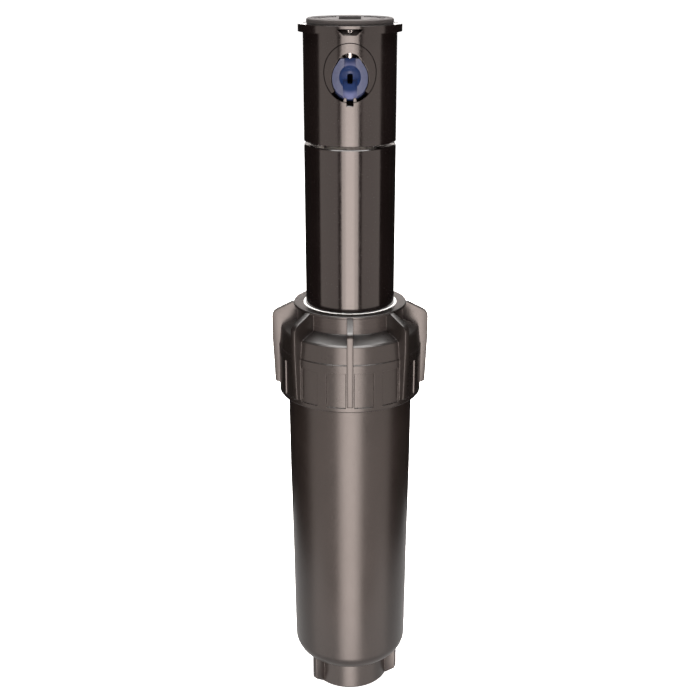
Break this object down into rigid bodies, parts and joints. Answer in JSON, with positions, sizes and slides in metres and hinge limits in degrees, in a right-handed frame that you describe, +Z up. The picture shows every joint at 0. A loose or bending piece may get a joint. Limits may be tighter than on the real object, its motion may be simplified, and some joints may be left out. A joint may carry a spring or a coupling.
{
  "type": "pop-up sprinkler",
  "caption": "Gear-driven pop-up sprinkler with a ribbed screw cap, a riser that slides out of a tapered case, a turning turret with a tilted blue nozzle, and a threaded inlet below.",
  "frame": {"origin": "centre of the inlet's bottom face, with the riser up", "axes": "+Z up the axis of case and riser, -Y where the nozzle points, +X to the right as seen from the nozzle side"},
  "size_m": [0.0662, 0.0662, 0.2982],
  "materials": {
    "case_plastic": "satin moulded",
    "cap_plastic": "satin, finely turned",
    "riser_plastic": "gloss",
    "turret_plastic": "gloss",
    "nozzle_blue": "satin gloss",
    "cover_rubber": "matte",
    "seal_rubber": "matte",
    "glide_white": "satin",
    "inner_plastic": "satin moulded",
    "gear_acetal": "satin",
    "poppet_red": "satin",
    "spring_steel": "drawn wire",
    "axle_steel": "ground",
    "screw_steel": "bright"
  },
  "bodies": {
    "case": {"case_shell": "case_plastic", "cap": "cap_plastic", "wiper_seal": "seal_rubber", "glide_ring": "glide_white", "retract_spring": "spring_steel"},
    "riser": {"riser_tube": "riser_plastic", "guide_ring": "inner_plastic", "inlet_screen": "inner_plastic", "stator": "inner_plastic", "bypass_cage": "inner_plastic", "bypass_spring": "spring_steel", "gearbox_base": "inner_plastic", "gearbox_can": "inner_plastic", "gearbox_lid": "inner_plastic", "gear_axles": "axle_steel", "thrust_washer": "glide_white", "shaft_seal": "seal_rubber"},
    "bypass": {"bypass_poppet": "poppet_red"},
    "trip": {"trip_rod": "axle_steel", "trip_lever": "inner_plastic"},
    "reverser": {"reversing_plate": "inner_plastic", "toggle_spring": "spring_steel"},
    "turbine": {"turbine_wheel": "inner_plastic", "turbine_shaft": "axle_steel", "turbine_pinion": "gear_acetal"},
    "stage_1": {"gear_cluster_1": "gear_acetal"},
    "stage_2": {"gear_cluster_2": "gear_acetal"},
    "stage_3": {"gear_cluster_3": "gear_acetal"},
    "stage_4": {"gear_cluster_4": "gear_acetal"},
    "stage_5": {"gear_cluster_5": "gear_acetal"},
    "drive": {"drive_gear": "gear_acetal", "clutch_plate": "inner_plastic"},
    "turret": {"turret_shell": "turret_plastic", "turret_cover": "cover_rubber", "nozzle": "nozzle_blue", "flow_tube": "inner_plastic", "retaining_clip": "spring_steel", "clutch_ring": "seal_rubber"},
    "adjusting_screw": {"radius_screw": "screw_steel"},
    "arc_key": {"arc_shaft": "inner_plastic"},
    "arc_stop": {"arc_ring": "glide_white"}
  },
  "joints": [
    {"name": "riser_pop", "type": "slide", "parent": "case", "child": "riser", "axis": [0, 0, 1], "range_m": [-0.1097, 0], "deforming": ["retract_spring"]},
    {"name": "turret_turn", "type": "hinge", "parent": "riser", "child": "turret", "pos_m": [0, 0, 0.27], "axis": [0, 0, 1], "range_deg": [-90, 90]},
    {"name": "turbine_spin", "type": "hinge", "parent": "riser", "child": "turbine", "pos_m": [0, 0, 0.17], "axis": [0, 0, 1], "continuous": true},
    {"name": "stage_1_spin", "type": "hinge", "parent": "riser", "child": "stage_1", "pos_m": [0.00592, -0.00342, 0.1856], "axis": [0, 0, 1], "continuous": true},
    {"name": "stage_2_spin", "type": "hinge", "parent": "riser", "child": "stage_2", "pos_m": [0.00592, 0.00342, 0.1912], "axis": [0, 0, 1], "continuous": true},
    {"name": "stage_3_spin", "type": "hinge", "parent": "riser", "child": "stage_3", "pos_m": [0.00592, -0.00342, 0.1968], "axis": [0, 0, 1], "continuous": true},
    {"name": "stage_4_spin", "type": "hinge", "parent": "riser", "child": "stage_4", "pos_m": [0.00592, 0.00342, 0.2024], "axis": [0, 0, 1], "continuous": true},
    {"name": "stage_5_spin", "type": "hinge", "parent": "riser", "child": "stage_5", "pos_m": [0.00592, -0.00342, 0.208], "axis": [0, 0, 1], "continuous": true},
    {"name": "drive_spin", "type": "hinge", "parent": "riser", "child": "drive", "pos_m": [0, 0, 0.21], "axis": [0, 0, 1], "continuous": true},
    {"name": "trip_turn", "type": "hinge", "parent": "riser", "child": "trip", "pos_m": [0, 0.01522, 0.2], "axis": [0, 0, 1], "range_deg": [0, 40]},
    {"name": "reverser_turn", "type": "hinge", "parent": "riser", "child": "reverser", "pos_m": [0, 0, 0.156], "axis": [0, 0, 1], "range_deg": [-14.4, 0]},
    {"name": "bypass_lift", "type": "slide", "parent": "riser", "child": "bypass", "axis": [0, 0, 1], "range_m": [0, 0.003], "stiffness_N_per_m": 60, "deforming": ["bypass_spring"]},
    {"name": "radius_screw_travel", "type": "slide", "parent": "turret", "child": "adjusting_screw", "axis": [0, 0, 1], "range_m": [-0.004, 0.0008]},
    {"name": "arc_key_turn", "type": "hinge", "parent": "turret", "child": "arc_key", "pos_m": [-0.00731, 0.01044, 0.27], "axis": [0, 0, 1], "range_deg": [-586, 0]},
    {"name": "arc_stop_turn", "type": "hinge", "parent": "turret", "child": "arc_stop", "pos_m": [0, 0, 0.254], "axis": [0, 0, 1], "range_deg": [0, 126]}
  ],
  "couplings": [
    {"joint": "stage_1_spin", "follows": "turbine_spin", "ratio": -0.33333},
    {"joint": "stage_2_spin", "follows": "turbine_spin", "ratio": 0.11111},
    {"joint": "stage_3_spin", "follows": "turbine_spin", "ratio": -0.037037},
    {"joint": "stage_4_spin", "follows": "turbine_spin", "ratio": 0.012346},
    {"joint": "stage_5_spin", "follows": "turbine_spin", "ratio": -0.0041152},
    {"joint": "drive_spin", "follows": "turbine_spin", "ratio": 0.0013717},
    {"joint": "reverser_turn", "follows": "trip_turn", "ratio": -0.35635},
    {"joint": "arc_stop_turn", "follows": "arc_key_turn", "ratio": -0.21429}
  ]
}
